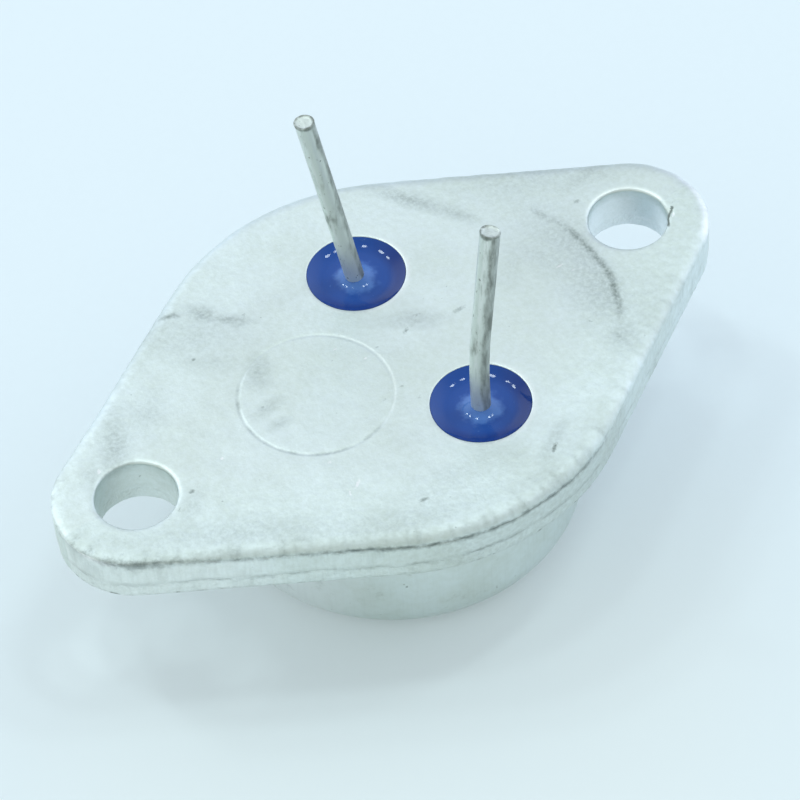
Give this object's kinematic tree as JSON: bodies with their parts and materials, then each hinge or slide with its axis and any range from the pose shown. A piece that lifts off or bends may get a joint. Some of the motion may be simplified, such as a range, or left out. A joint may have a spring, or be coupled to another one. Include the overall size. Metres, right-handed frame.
{
  "type": "power transistor",
  "caption": "Power transistor in a sealed steel can: diamond base plate with mounting holes, glass-sealed leads on one side and a round drawn cap on the other.",
  "frame": {"origin": "midway between the two mounting holes, on the seating face", "axes": "+Z along the leads, away from the cap; +X through the mounting holes, towards the leads' side"},
  "size_m": [0.0386, 0.0242, 0.0224],
  "materials": {
    "plated_plate": "satin",
    "plated_cap": "satin",
    "blue_glass": "gloss",
    "tinned_lead": "satin",
    "copper": "satin",
    "braze": "satin",
    "solder": "satin",
    "silicon": "gloss",
    "bond_wire": "satin"
  },
  "bodies": {
    "root": {"flange_plate": "plated_plate", "cap": "plated_cap", "emitter_seal": "blue_glass", "base_seal": "blue_glass", "emitter_lead": "tinned_lead", "base_lead": "tinned_lead", "heat_spreader": "copper", "braze_disc": "braze", "die_solder": "solder", "silicon_die": "silicon", "emitter_wire_1": "bond_wire", "emitter_wire_2": "bond_wire", "base_wire": "bond_wire"}
  },
  "joints": []
}
